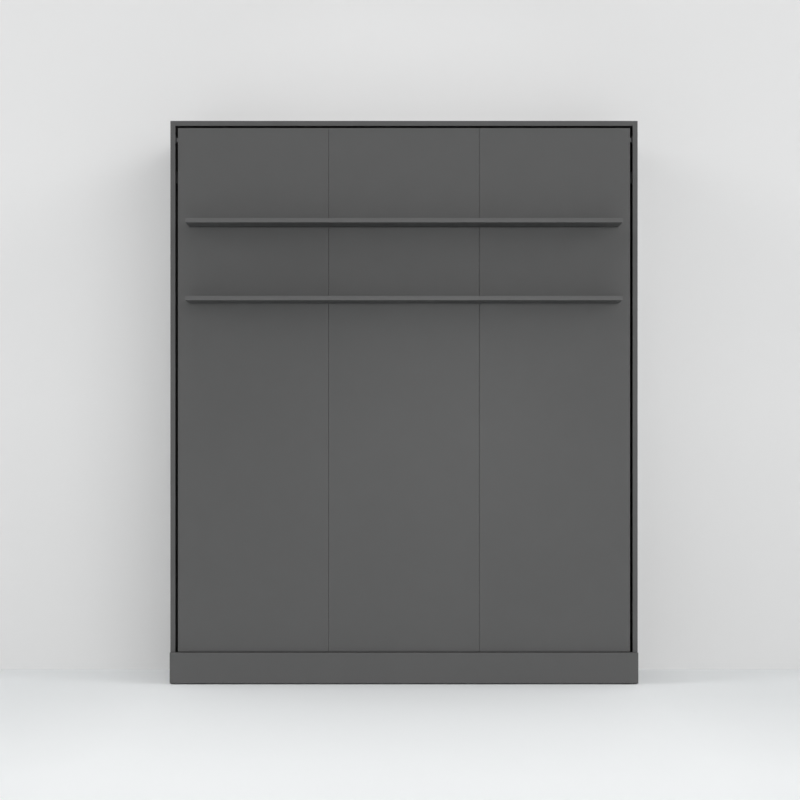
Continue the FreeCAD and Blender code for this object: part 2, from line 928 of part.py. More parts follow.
def end_rails():
    depths = (panel_back, panel_back + dim.end_rail_depth)
    spans = {
        "head_rail": (frame_low, frame_low + dim.rail_width),
        "foot_rail": (frame_high - dim.rail_width, frame_high),
    }
    for name, heights in spans.items():
        keep(name, tube(name, (-rail_inner, rail_inner), depths, heights, "x"))


def centre_beam():
    name = "centre_beam"
    half = dim.rail_width / 2
    heights = (frame_low + dim.rail_width, frame_high - dim.rail_width)
    profile = tube(name, (-half, half), (panel_back, beam_top), heights, "z")
    keep(name, cut(name, profile, panel_screw_holes(name, screw_rows["middle"], beam_top)))


def cross_rails():
    half = dim.rail_width / 2
    levels = {"lower": dim.lower_cross_height, "upper": shelf_tops["lower"] - dim.upper_cross_drop}
    rails = [
        tube(
            f"{hand}_{level}_cross_rail",
            outward(side, half, rail_inner),
            (panel_back, beam_top),
            (height - half, height + half),
            "x",
        )
        for level, height in levels.items()
        for hand, side in SIDES.items()
    ]
    keep("cross_rails", group("cross_rails", rails))


def rail_end_caps():
    caps = []
    room = dim.rail_wall + dim.holder_fit
    depths = (panel_back, panel_back + dim.rail_depth)
    plug_depths = (depths[0] + room, depths[1] - room)
    ends = {
        "low": ((frame_low - dim.cap_flange, frame_low), (frame_low, frame_low + dim.cap_insert)),
        "high": ((frame_high, frame_high + dim.cap_flange), (frame_high - dim.cap_insert, frame_high)),
    }
    for hand, side in SIDES.items():
        for end, (flange, insert) in ends.items():
            name = f"{hand}_{end}_rail_cap"
            lid = bevelled(f"{name}_lid", outward(side, rail_inner, rail_outer), depths, flange, "z")
            plug_span = outward(side, rail_inner + room, rail_outer - room)
            plug = block(f"{name}_plug", plug_span, plug_depths, insert)
            caps.append(fuse(name, [lid, plug]))
    keep("rail_end_caps", group("rail_end_caps", caps))


def panel_screws():
    seat = panel_back + dim.rail_wall
    screws = [
        screw(
            f"{row}_panel_screw",
            "y",
            (seat, seat + dim.screw_head_height),
            (panel_back - dim.screw_depth, seat),
            (place, z),
        )
        for row, place in screw_rows.items()
        for z in screw_heights
    ]
    keep("panel_screws", group("panel_screws", screws))


# Slats
def slat_span(height, extra=0):
    half = dim.slat_width / 2 + extra
    return (height - half, height + half)


def slats(hand, side):
    name = f"{hand}_slats"
    span = outward(side, dim.slat_middle_gap / 2, rail_inner - dim.holder_wall)
    strips = [
        block(f"{hand}_slat", span, (slat_underside, slat_top), slat_span(z)) for z in slat_heights
    ]
    keep(name, group(name, strips))


def slat_holders():
    """Open trays: one against each side rail, and a double one on the centre beam, for every slat."""
    trays = {"side": [], "centre": []}
    depths = (beam_top, slat_top)
    slot_depths = (slat_underside, slat_top)
    for z in slat_heights:
        outer_heights = slat_span(z, dim.holder_wall)
        slot_heights = slat_span(z, dim.holder_fit)
        for hand, side in SIDES.items():
            name = f"{hand}_slat_holder"
            start = rail_inner - dim.holder_length
            tray = block(f"{name}_block", outward(side, start, rail_inner), depths, outer_heights)
            slot_end = rail_inner - dim.holder_wall + dim.holder_fit
            slot = block(f"{name}_slot", outward(side, start, slot_end), slot_depths, slot_heights)
            trays["side"].append(cut(name, tray, [slot]))
        reach = dim.holder_length
        rib = dim.slat_middle_gap / 2 - dim.holder_fit
        tray = block("centre_holder_block", (-reach, reach), depths, outer_heights)
        slots = [
            block("centre_holder_slot", outward(side, rib, reach), slot_depths, slot_heights)
            for side in SIDES.values()
        ]
        trays["centre"].append(cut("centre_slat_holder", tray, slots))
    keep("side_slat_holders", group("side_slat_holders", trays["side"]))
    keep("centre_slat_holders", group("centre_slat_holders", trays["centre"]))


# Mattress and the straps that hold it while the bed is shut
def mattress():
    outer = rounded(
        "mattress_cover",
        block(
            "mattress_block",
            (-mattress_half, mattress_half),
            (mattress_front, mattress_back),
            (mattress_low, mattress_high),
        ),
        dim.mattress_edge,
    )
    skin = dim.mattress_padding
    core = block(
        "mattress_core_space",
        (-mattress_half + skin, mattress_half - skin),
        (mattress_front + skin, mattress_back - skin),
        (mattress_low + skin, mattress_high - skin),
    )
    keep("mattress", cut("mattress", outer, [core]))


def mattress_strap(level):
    name = f"{level}_mattress_strap"
    half = dim.strap_width / 2
    heights = (strap_heights[level] - half, strap_heights[level] + half)
    inner_face = mattress_back + dim.rest_gap
    outer_face = inner_face + dim.strap_thickness
    runs = [block(f"{name}_run", (-strap_outer, strap_outer), (inner_face, outer_face), heights)]
    runs += [
        block(
            f"{name}_{hand}_fall",
            outward(side, strap_inner, strap_outer),
            (strap_end, outer_face),
            heights,
        )
        for hand, side in SIDES.items()
    ]
    keep(name, fuse(name, runs))


def buckle(name, height, seat):
    """A slide buckle: an oblong frame with a bar across its middle."""
    half_length = dim.buckle_length / 2
    depths = (seat, seat + dim.buckle_height)
    half_width = dim.buckle_width / 2
    frame = block(
        f"{name}_block", (-half_length, half_length), depths, (height - half_width, height + half_width)
    )
    half_window = half_width - dim.buckle_bar
    windows = [
        block(
            f"{name}_window",
            outward(side, dim.buckle_bar / 2, half_length - dim.buckle_bar),
            depths,
            (height - half_window, height + half_window),
        )
        for side in SIDES.values()
    ]
    return cut(name, rounded(f"{name}_frame", frame, dim.board_edge), windows)


def strap_fittings():
    anchors = []
    buckles = []
    half = dim.strap_anchor_width / 2
    buckle_seat = mattress_back + dim.rest_gap + dim.strap_thickness
    for level, height in strap_heights.items():
        for hand, side in SIDES.items():
            anchors.append(
                block(
                    f"{hand}_{level}_strap_anchor",
                    outward(side, strap_outer, rail_inner),
                    (strap_end, slat_top),
                    (height - half, height + half),
                )
            )
        buckles.append(buckle(f"{level}_strap_buckle", height, buckle_seat))
    keep("strap_anchors", group("strap_anchors", anchors))
    keep("strap_buckles", group("strap_buckles", buckles))


# Pivot hardware on the bed
def bed_plate(hand, side):
    name = f"{hand}_bed_plate"
    front_edge = panel_back + dim.rest_gap
    rail_edge = panel_back + dim.rail_depth
    reach = dim.boss_diameter / 2 + dim.boss_rim
    corners = [
        (front_edge, bed_plate_low),
        (bed_stud[0] + dim.stud_edge, bed_plate_low),
        (pivot_y + reach, pivot_z - reach),
        (pivot_y + reach, pivot_z + reach),
        (rail_edge, bed_plate_high),
        (front_edge, bed_plate_high),
    ]
    bush_hole = hole(dim.pin_diameter + (dim.running_fit + dim.bush_wall) * 2)
    holes = [((pivot_y, pivot_z), bush_hole), (bed_stud, hole(dim.stud_diameter))]
    holes += [(spot, hole(dim.bolt_diameter)) for spot in bed_bolts]
    body = plate(name, side, bed_plate_face, corners, holes, dim.plate_thickness)
    ring = body.newObject("Sketcher::SketchObject", f"{name}_boss_ring")
    attach(ring, body)
    circle(ring, (pivot_y, pivot_z), dim.boss_diameter)
    circle(ring, (pivot_y, pivot_z), bush_hole)
    boss = body.newObject("PartDesign::Pad", f"{name}_boss")
    boss.Profile = ring
    boss.Reversed = side > 0
    boss.setExpression("Length", (dim.plate_thickness + dim.boss_length).formula)
    keep(name, body)


def pivot_bush(hand, side):
    name = f"{hand}_pivot_bush"
    centre = (pivot_y, pivot_z)
    bore = dim.pin_diameter + dim.running_fit * 2
    outside = bore + dim.bush_wall * 2
    flange_face = bed_plate_face + dim.bush_flange
    sleeve = bar(f"{name}_sleeve", "x", outward(side, boss_end, bed_plate_face), centre, outside)
    flange = bar(
        f"{name}_flange", "x", outward(side, bed_plate_face, flange_face), centre, dim.boss_diameter
    )
    passage = bar(f"{name}_bore", "x", outward(side, boss_end, flange_face), centre, bore)
    keep(name, cut(name, fuse(f"{name}_blank", [sleeve, flange]), [passage]))


def bed_plate_bolts():
    bolts = [
        bolt(
            f"{hand}_bed_bolt",
            "x",
            outward(side, bed_plate_face, bed_plate_face + dim.bolt_head_height),
            outward(side, bed_plate_face - dim.plate_bolt_grip, bed_plate_face),
            spot,
        )
        for hand, side in SIDES.items()
        for spot in bed_bolts
    ]
    keep("bed_plate_bolts", group("bed_plate_bolts", bolts))


def bed_studs():
    studs = [
        spring_stud(f"{hand}_bed_stud", side, rail_outer, bed_plate_face, bed_stud, False)
        for hand, side in SIDES.items()
    ]
    keep("bed_spring_studs", group("bed_spring_studs", studs))


# Gas springs, drawn along +Y from their own stud and then turned into line with the other
def place_spring(thing, side, stud, tilt):
    thing.Placement = FreeCAD.Placement(FreeCAD.Vector(), FreeCAD.Rotation(FreeCAD.Vector(1, 0, 0), 1))
    bind_place(thing, (side * spring_plane, stud[0], stud[1]))
    thing.setExpression("Placement.Rotation.Angle", tilt.formula)


def eye(name):
    half = dim.eye_width / 2
    return bar(name, "x", (-half, half), (floor, floor), dim.eye_diameter)


def eye_bore(name):
    half = dim.eye_width / 2
    return bar(name, "x", (-half, half), (floor, floor), dim.stud_diameter + dim.running_fit * 2)


def gas_cylinder(hand, side):
    name = f"{hand}_gas_cylinder"
    axis = (floor, floor)
    neck = bar(f"{name}_neck", "y", (floor, cylinder_start), axis, dim.rod_diameter)
    barrel = bar(f"{name}_barrel", "y", (cylinder_start, cylinder_mouth), axis, dim.cylinder_diameter)
    gland_start = cylinder_mouth - dim.gland_length
    chamber = bar(f"{name}_chamber", "y", (chamber_start, gland_start), axis, chamber_radius * 2)
    passage_diameter = dim.rod_diameter + dim.rest_gap * 2
    passage = bar(f"{name}_passage", "y", (gland_start, cylinder_mouth), axis, passage_diameter)
    blank = fuse(f"{name}_blank", [eye(f"{name}_eye"), neck, barrel])
    thing = cut(name, blank, [eye_bore(f"{name}_eye_bore"), chamber, passage])
    place_spring(thing, side, cabinet_stud, cylinder_tilt)
    keep(name, thing)


def gas_rod(hand, side):
    name = f"{hand}_gas_rod"
    axis = (floor, floor)
    shaft = bar(f"{name}_shaft", "y", (floor, rod_reach), axis, dim.rod_diameter)
    piston_diameter = chamber_radius * 2 - dim.rest_gap * 2
    piston = bar(f"{name}_piston", "y", (rod_reach - dim.piston_length, rod_reach), axis, piston_diameter)
    blank = fuse(f"{name}_blank", [eye(f"{name}_eye"), shaft, piston])
    thing = cut(name, blank, [eye_bore(f"{name}_eye_bore")])
    place_spring(thing, side, bed_stud, rod_tilt)
    keep(name, thing)


# Spring catches in the panel's edges
def catch_block(name, side):
    half = dim.catch_height / 2
    half_depth = dim.catch_depth / 2
    return block(
        name,
        outward(side, panel_half - dim.catch_length, panel_half),
        (catch_middle - half_depth, catch_middle + half_depth),
        (catch_height_centre - half, catch_height_centre + half),
    )


def catch_chamber(name, side, start, end, room):
    """The space inside a catch, drawn in by the given room."""
    half = dim.catch_height / 2 - dim.catch_wall - room
    half_depth = dim.catch_depth / 2 - dim.catch_wall - room
    return block(
        name,
        outward(side, start, end),
        (catch_middle - half_depth, catch_middle + half_depth),
        (catch_height_centre - half, catch_height_centre + half),
    )


def catch_bodies():
    bodies = []
    floor_face = panel_half - dim.catch_length + dim.catch_floor
    for hand, side in SIDES.items():
        name = f"{hand}_catch_body"
        chamber = catch_chamber(f"{name}_chamber", side, floor_face, panel_half, size(0))
        bodies.append(cut(name, catch_block(f"{name}_block", side), [chamber]))
    keep("catch_bodies", group("catch_bodies", bodies))


def catch_plunger(hand, side):
    name = f"{hand}_catch_plunger"
    start = panel_half - dim.catch_length + dim.catch_floor + dim.catch_spring
    tip = panel_half + dim.plunger_reach
    blank = catch_chamber(f"{name}_blank", side, start, tip, dim.rest_gap)
    doc.recompute([blank])
    nose = side * tip.value
    tip_edges = [
        number
        for number, edge in enumerate(blank.Shape.Edges, start=1)
        if all(abs(vertex.X - nose) < TOUCH for vertex in edge.Vertexes)
    ]
    nose_radius = (dim.catch_depth - dim.nose_flat) / 2 - dim.catch_wall - dim.rest_gap
    keep(name, rounded(name, blank, nose_radius, tip_edges))


# The coil springs behind the plungers: a round wire on arcs, two to each quarter turn
def biarc(start, start_way, end, end_way):
    """Two arcs that leave the start and reach the end in the directions given."""
    across = end - start
    lean = across.dot(start_way + end_way)
    bend = 2 - 2 * start_way.dot(end_way)
    reach = (math.sqrt(lean * lean + bend * across.dot(across)) - lean) / bend
    corners = [start + start_way * reach, end - end_way * reach]
    meeting = (corners[0] + corners[1]) * 0.5
    arcs = []
    for first, corner, last in ((start, corners[0], meeting), (meeting, corners[1], end)):
        weight = first.distanceToPoint(last) / (2 * reach)
        crown = (first + corner * (2 * weight) + last) * (1 / (2 + 2 * weight))
        arcs.append(Part.Arc(first, crown, last).toShape())
    return arcs


def catch_spring(hand, side):
    name = f"{hand}_catch_spring"
    wire = dim.spring_wire
    start = panel_half - dim.catch_length + dim.catch_floor + dim.rest_gap + wire / 2
    length = dim.catch_spring - dim.rest_gap * 2 - wire
    radius = (dim.catch_depth / 2 - dim.catch_wall - dim.rest_gap - wire / 2).value
    rise = length.value / (2 * math.pi * SPRING_TURNS)
    stops = []
    for i in range(SPRING_TURNS * QUARTERS_PER_TURN + 1):
        angle = 2 * math.pi * i / QUARTERS_PER_TURN
        across = radius * math.cos(angle)
        up = radius * math.sin(angle)
        place = FreeCAD.Vector(
            side * (start.value + rise * angle), catch_middle.value + across, catch_height_centre.value + up
        )
        stops.append((place, FreeCAD.Vector(side * rise, -up, across).normalize()))
    arcs = [arc for first, last in zip(stops, stops[1:]) for arc in biarc(*first, *last)]
    path = Part.Wire(arcs)
    section = Part.Wire(Part.makeCircle(wire.value / 2, *stops[0]))
    thing = doc.addObject("Part::Feature", name)
    thing.Shape = path.makePipeShell([section], True, False)
    keep(name, thing)
    print(f"{name}: least gap between turns {least_gap(path, wire.value):.2f} mm")


def least_gap(path, wire):
    """The least room between points of a coil that are a half turn or more apart along it."""
    half_turn = SPRING_POINTS // (2 * SPRING_TURNS)
    points = path.discretize(SPRING_POINTS)
    return min(
        point.distanceToPoint(other) - wire
        for i, point in enumerate(points)
        for other in points[i + half_turn :]
    )


# The whole bed
top_panel()
plinth()
back_panels()
back_rail("upper", upper_rail_low, top_underside)
back_rail("lower", floor, dim.plinth_height)
cabinet_dowels()
plinth_brackets()
pivot_retainers()
cabinet_studs()
cabinet_screws()
strike_plates()
closing_stops()
front_board("left", (-panel_half, -outer_start), screw_rows["left"], SIDES["left"])
front_board("middle", (-middle_half, middle_half), screw_rows["middle"])
front_board("right", (outer_start, panel_half), screw_rows["right"], SIDES["right"])
for level in shelf_tops:
    shelf(level)
shelf_bolts()
end_rails()
centre_beam()
cross_rails()
rail_end_caps()
panel_screws()
slat_holders()
mattress()
for level in strap_heights:
    mattress_strap(level)
strap_fittings()
bed_plate_bolts()
bed_studs()
catch_bodies()
for hand, side in SIDES.items():
    side_panel(hand, side)
    cabinet_plate(hand, side)
    pivot_pin(hand, side)
    side_rail(hand, side)
    slats(hand, side)
    bed_plate(hand, side)
    pivot_bush(hand, side)
    gas_cylinder(hand, side)
    gas_rod(hand, side)
    catch_plunger(hand, side)
    catch_spring(hand, side)

doc.recompute()

# Nothing is written unless every object is sound
failed = [thing.Name for thing in doc.Objects if {"Invalid", "Error"} & set(thing.State)]
if failed:
    raise RuntimeError(f"failed objects: {failed}")
unsound = [label for label, thing in pieces.items() if thing.Shape.isNull() or not thing.Shape.isValid()]
if unsound:
    raise RuntimeError(f"unsound pieces: {unsound}")

os.makedirs("parts", exist_ok=True)
for label, thing in pieces.items():
    thing.Shape.exportStep(os.path.join("parts", f"{label}.step"))

print(f"{len(pieces)} pieces, {sum(len(thing.Shape.Solids) for thing in pieces.values())} solids")
print(f"pivot at y {pivot_y.value:.2f}, z {pivot_z.value:.2f}")
print(f"cabinet stud at y {cabinet_stud[0].value:.3f}, z {cabinet_stud[1].value:.3f}")
print(f"bed stud at y {bed_stud[0].value:.3f}, z {bed_stud[1].value:.3f}")
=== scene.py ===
"""Looks of the wall bed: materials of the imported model, soft pieces and springs, the stage and the light.

Everything is in metres, in the model's own frame: X across, +Y at the wall, +Z up, with the bed shut.
"""

import json
import math

import bpy
import numpy as np
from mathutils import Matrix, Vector


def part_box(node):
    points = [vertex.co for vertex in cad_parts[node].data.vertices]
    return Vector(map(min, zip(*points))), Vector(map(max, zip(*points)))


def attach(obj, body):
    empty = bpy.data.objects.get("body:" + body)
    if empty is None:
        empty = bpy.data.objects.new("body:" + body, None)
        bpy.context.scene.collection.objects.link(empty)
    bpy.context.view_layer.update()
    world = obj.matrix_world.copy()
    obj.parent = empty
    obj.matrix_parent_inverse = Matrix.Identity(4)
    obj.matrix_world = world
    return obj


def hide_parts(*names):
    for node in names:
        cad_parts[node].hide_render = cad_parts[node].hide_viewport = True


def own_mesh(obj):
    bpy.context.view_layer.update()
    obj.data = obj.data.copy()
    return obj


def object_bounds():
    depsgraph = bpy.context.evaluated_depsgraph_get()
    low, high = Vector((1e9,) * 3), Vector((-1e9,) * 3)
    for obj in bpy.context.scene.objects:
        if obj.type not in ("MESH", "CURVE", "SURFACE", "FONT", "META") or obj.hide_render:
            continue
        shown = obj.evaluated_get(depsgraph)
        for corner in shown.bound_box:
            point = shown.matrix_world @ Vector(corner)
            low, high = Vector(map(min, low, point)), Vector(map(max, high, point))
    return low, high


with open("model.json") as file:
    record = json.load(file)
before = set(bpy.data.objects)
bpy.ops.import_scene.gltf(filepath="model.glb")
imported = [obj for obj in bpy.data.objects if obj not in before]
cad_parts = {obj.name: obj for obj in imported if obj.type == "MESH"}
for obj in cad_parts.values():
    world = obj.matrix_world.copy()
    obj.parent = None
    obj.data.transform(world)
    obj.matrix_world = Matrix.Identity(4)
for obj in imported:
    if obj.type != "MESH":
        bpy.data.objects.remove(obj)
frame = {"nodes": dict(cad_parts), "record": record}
cad_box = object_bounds()
cad = frame["nodes"]

# Sockets of the Mix node when it mixes colours
MIX_FIRST = 6
MIX_SECOND = 7
MIX_RESULT = 2


class Finish:
    """A material being put together, with short ways to add nodes and join them."""

    def __init__(self, name, colour, roughness, metallic=0.0):
        self.material = bpy.data.materials.new(name)
        self.material.use_nodes = True
        self.tree = self.material.node_tree
        self.shader = self.tree.nodes["Principled BSDF"]
        self.colour = colour
        self.normal = None
        self.set("Base Color", (*colour, 1))
        self.set("Roughness", roughness)
        self.set("Metallic", metallic)
        self.coords = self.add("ShaderNodeTexCoord").outputs["Object"]

    def set(self, socket, value):
        self.shader.inputs[socket].default_value = value

    def add(self, kind, **inputs):
        node = self.tree.nodes.new(kind)
        for socket, value in inputs.items():
            self.feed(node.inputs[socket.replace("_", " ")], value)
        return node

    def feed(self, socket, value):
        if isinstance(value, bpy.types.NodeSocket):
            self.tree.links.new(value, socket)
        else:
            socket.default_value = value

    def sums(self, operation, first, second=0.0):
        node = self.add("ShaderNodeMath")
        node.operation = operation
        self.feed(node.inputs[0], first)
        self.feed(node.inputs[1], second)
        return node.outputs[0]

    def axes(self):
        return self.add("ShaderNodeSeparateXYZ", Vector=self.coords).outputs

    def stretched(self, scale):
        return self.add("ShaderNodeMapping", Vector=self.coords, Scale=scale).outputs["Vector"]

    def noise(self, scale, detail=2.0, stretch=(1, 1, 1)):
        node = self.add("ShaderNodeTexNoise", Vector=self.stretched(stretch), Scale=scale, Detail=detail)
        return node.outputs["Fac"]

    def cells(self, scale):
        return self.add("ShaderNodeTexVoronoi", Vector=self.coords, Scale=scale).outputs["Distance"]

    def ribs(self, scale, axis):
        node = self.add("ShaderNodeTexWave", Vector=self.coords, Scale=scale)
        node.bands_direction = axis
        return node.outputs["Fac"]

    def between(self, value, low, high, start=0.3, end=0.7):
        """The value, which runs from start to end, as a number that runs from low to high."""
        node = self.add("ShaderNodeMapRange", Value=value)
        for socket, number in zip(("From Min", "From Max", "To Min", "To Max"), (start, end, low, high)):
            node.inputs[socket].default_value = number
        return node.outputs["Result"]

    def shade(self, value, dark, light):
        """Colour the surface between two shares of its own colour."""
        node = self.add("ShaderNodeMix")
        node.data_type = "RGBA"
        ends = [(*(channel * share for channel in self.colour), 1) for share in (dark, light)]
        self.feed(node.inputs["Factor"], value)
        self.feed(node.inputs[MIX_FIRST], ends[0])
        self.feed(node.inputs[MIX_SECOND], ends[1])
        self.feed(self.shader.inputs["Base Color"], node.outputs[MIX_RESULT])

    def rough(self, value, low, high):
        self.feed(self.shader.inputs["Roughness"], self.between(value, low, high))

    def bump(self, value, depth):
        """Raise the surface by up to the depth, on top of any earlier bump."""
        node = self.add("ShaderNodeBump", Height=value, Distance=depth, Strength=1.0)
        if self.normal:
            self.feed(node.inputs["Normal"], self.normal)
        self.normal = node.outputs["Normal"]
        self.feed(self.shader.inputs["Normal"], self.normal)


# Boards: how far their lighter edges reach, which are wear and a painted highlight, and the edge bands of the
# shelves, which are painted paler as a painted highlight
WEAR_AND_HIGHLIGHT_WIDTH = 0.0022
BAND_THICKNESS = 0.001
BAND_JOINT = 0.0002
BAND_HIGHLIGHT_TONE = 0.8


def face_rooms(finish, low, high):
    """How far a place on a board is from the nearer of its two faces, along each axis."""
    places = finish.axes()
    rooms = []
    for axis in range(3):
        offset = finish.sums("SUBTRACT", places[axis], (low[axis] + high[axis]) / 2)
        rooms.append(finish.sums("SUBTRACT", (high[axis] - low[axis]) / 2, finish.sums("ABSOLUTE", offset)))
    return rooms


def edge_nearness(finish, rooms, width):
    """1 along the edges of a board, falling to 0 at the given distance from them."""
    total = finish.sums("ADD", finish.sums("ADD", rooms[0], rooms[1]), rooms[2])
    least = finish.sums("MINIMUM", finish.sums("MINIMUM", rooms[0], rooms[1]), rooms[2])
    most = finish.sums("MAXIMUM", finish.sums("MAXIMUM", rooms[0], rooms[1]), rooms[2])
    to_edge = finish.sums("SUBTRACT", finish.sums("SUBTRACT", total, least), most)
    return finish.between(to_edge, low=1.0, high=0.0, start=0.0, end=width)


def melamine(node, colour):
    """Matt foil on board: a fine pearl grain, corners lighter with wear and a painted highlight, and edge
    bands on shelves painted paler as a painted highlight.
    """
    finish = Finish(f"{node}_melamine", colour, roughness=0.7)
    finish.set("Specular IOR Level", 0.2)
    finish.set("Coat Weight", 0.02)
    finish.set("Coat Roughness", 0.25)
    rooms = face_rooms(finish, *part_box(node))
    edges = edge_nearness(finish, rooms, WEAR_AND_HIGHLIGHT_WIDTH)
    # Lighter along the edges: partly wear, partly a painted highlight where the edges catch the light.
    wear_and_highlight = finish.sums("MULTIPLY", edges, finish.noise(scale=60, detail=4))
    if node.endswith("shelf"):
        # Shelf edge bands painted paler: a painted highlight for the light the shelf fronts catch.
        along = finish.sums("MINIMUM", rooms[0], rooms[1])
        band_end = BAND_THICKNESS + BAND_JOINT
        band_highlight = finish.between(along, low=BAND_HIGHLIGHT_TONE, high=0.0, start=BAND_THICKNESS, end=band_end)
        wear_and_highlight = finish.sums("ADD", wear_and_highlight, band_highlight)
    cloud = finish.between(finish.noise(scale=2.2, detail=3), low=-0.04, high=0.04)
    speckle = finish.between(finish.noise(scale=1400, detail=1), low=-0.2, high=0.2)
    tone = finish.sums("ADD", finish.sums("ADD", cloud, speckle), wear_and_highlight)
    finish.shade(finish.between(tone, low=0, high=1, start=-0.5, end=1.0), dark=0.9, light=1.2)
    finish.rough(finish.noise(scale=18, detail=4), low=0.66, high=0.74)
    finish.bump(finish.noise(scale=900), depth=0.00012)
    return finish.material


# Metals, wood and plastics
Z_AXIS = 2


def powder_coat(name, colour):
    finish = Finish(name, colour, roughness=0.5)
    finish.shade(finish.noise(scale=40, detail=3), dark=0.88, light=1.12)
    finish.rough(finish.noise(scale=90, detail=3), low=0.4, high=0.56)
    finish.bump(finish.noise(scale=1100), depth=0.00018)
    return finish.material


def brushed_steel(name, colour, along):
    """Rolled sheet with fine scratches along one axis."""
    finish = Finish(name, colour, roughness=0.38, metallic=1.0)
    stretch = [1.0, 1.0, 1.0]
    stretch[along] = 0.03
    scratches = finish.noise(scale=1500, detail=4, stretch=stretch)
    finish.shade(finish.noise(scale=35, detail=4), dark=0.86, light=1.1)
    finish.rough(scratches, low=0.28, high=0.48)
    finish.bump(scratches, depth=0.00004)
    return finish.material


def zinc(name, colour):
    """Plated fasteners: faint spangle and a dull film."""
    finish = Finish(name, colour, roughness=0.34, metallic=1.0)
    finish.shade(finish.cells(scale=420), dark=0.8, light=1.15)
    finish.rough(finish.noise(scale=260, detail=3), low=0.26, high=0.44)
    finish.bump(finish.noise(scale=700, detail=3), depth=0.00003)
    return finish.material


def bronze(name, colour):
    finish = Finish(name, colour, roughness=0.34, metallic=1.0)
    finish.shade(finish.noise(scale=500, detail=4), dark=0.75, light=1.15)
    finish.rough(finish.noise(scale=300, detail=3), low=0.25, high=0.45)
    return finish.material


def lacquer(name, colour):
    """Sprayed black paint under a clear coat."""
    finish = Finish(name, colour, roughness=0.3)
    finish.set("Coat Weight", 0.6)
    finish.set("Coat Roughness", 0.12)
    finish.shade(finish.noise(scale=220, detail=3), dark=0.85, light=1.2)
    finish.bump(finish.noise(scale=260), depth=0.00005)
    return finish.material


def chrome(name, colour):
    """Hard chrome with a faint, uneven haze."""
    finish = Finish(name, colour, roughness=0.1, metallic=1.0)
    finish.rough(finish.noise(scale=900, detail=3), low=0.06, high=0.16)
    finish.shade(finish.noise(scale=120), dark=0.92, light=1.04)
    return finish.material


def beech(name, colour):
    """Steamed beech, grain along X, with the short dark flecks of its rays."""
    finish = Finish(name, colour, roughness=0.45)
    grain = finish.noise(scale=90, detail=5, stretch=(0.05, 1, 1))
    rays = finish.noise(scale=420, stretch=(0.12, 1, 1))
    flecks = finish.between(rays, low=0, high=0.5, start=0.58, end=0.68)
    finish.shade(finish.sums("SUBTRACT", finish.between(grain, low=0, high=1), flecks), dark=0.72, light=1.12)
    finish.rough(grain, low=0.38, high=0.54)
    finish.bump(grain, depth=0.0001)
    return finish.material


def plastic(name, colour, low, high):
    """Moulded plastic with a fine spark-eroded grain."""
    finish = Finish(name, colour, roughness=low)
    finish.set("Specular IOR Level", 0.3)
    finish.shade(finish.noise(scale=160, detail=3), dark=0.9, light=1.15)
    finish.rough(finish.noise(scale=320, detail=3), low, high)
    finish.bump(finish.cells(scale=1600), depth=0.00006)
    return finish.material


def rubber(name, colour):
    finish = Finish(name, colour, roughness=0.8)
    finish.set("Specular IOR Level", 0.2)
    # Darker than the rubber's own black: painted shade, so the stops sink into the shade of the side gaps
    # they sit in.
    finish.shade(finish.noise(scale=140, detail=4), dark=0.5, light=0.9)
    finish.rough(finish.noise(scale=260, detail=3), low=0.7, high=0.9)
    finish.bump(finish.noise(scale=1300, detail=3), depth=0.0001)
    return finish.material


# Cloths: how much the loops of the ticking change its tone, how much its sewn lines change it (darker with
# painted shade in their grooves, lighter along their thread), and the weave of the straps
LOOP_TONE = 0.5
GROOVE_SHADE_AND_THREAD_TONE = 0.3
WEAVE = "weave"
WEAVE_TONE = 0.4
TWILL_PITCH = 0.004


def ticking(name, colour, sewn=None):
    """Knitted mattress cover: rows of small loops, a soft sheen, thread along any sewn lines, and painted
    shade in their grooves.
    """
    finish = Finish(name, colour, roughness=0.9)
    finish.set("Specular IOR Level", 0.15)
    finish.set("Sheen Weight", 0.35)
    finish.set("Sheen Roughness", 0.5)
    loops = finish.sums("MULTIPLY", finish.ribs(scale=160, axis="X"), finish.ribs(scale=210, axis="Z"))
    finish.bump(loops, depth=0.0004)
    finish.bump(finish.noise(scale=700, detail=3), depth=0.0002)
    cloud = finish.noise(scale=9, detail=4)
    tone = finish.sums("ADD", finish.sums("MULTIPLY", loops, LOOP_TONE), cloud)
    tone = finish.between(tone, low=0.44, high=1.0, start=0.0, end=1.0)
    if sewn:
        groove_and_shade, thread = sewn(finish)
        finish.bump(finish.sums("SUBTRACT", thread, groove_and_shade), depth=0.0008)
        # Painted shade: darker along the sewn grooves, where shade falls; the thread itself is lighter.
        tone = finish.sums("SUBTRACT", tone, finish.sums("MULTIPLY", groove_and_shade, GROOVE_SHADE_AND_THREAD_TONE))
        tone = finish.sums("ADD", tone, finish.sums("MULTIPLY", thread, GROOVE_SHADE_AND_THREAD_TONE))
    finish.shade(tone, dark=0.6, light=1.1)
    return finish.material


def webbing(name, colour):
    """Woven strap: close ribs across it, and a herringbone that turns about its middle."""
    finish = Finish(name, colour, roughness=0.75)
    finish.set("Sheen Weight", 0.2)
    layout = finish.add("ShaderNodeUVMap")
    layout.uv_map = WEAVE
    finish.coords = layout.outputs["UV"]
    places = finish.axes()
    slant = finish.sums("ADD", places["X"], finish.sums("ABSOLUTE", places["Y"]))
    twill = finish.sums("SINE", finish.sums("MULTIPLY", slant, 2 * math.pi / TWILL_PITCH))
    herringbone = finish.between(twill, low=0, high=1, start=-1, end=1)
    weave = finish.sums("ADD", finish.ribs(scale=300, axis="X"), herringbone)
    tone = finish.sums("ADD", weave, finish.noise(scale=60, detail=3))
    finish.shade(finish.sums("MULTIPLY", tone, WEAVE_TONE), dark=0.55, light=1.4)
    finish.bump(weave, depth=0.0003)
    return finish.material


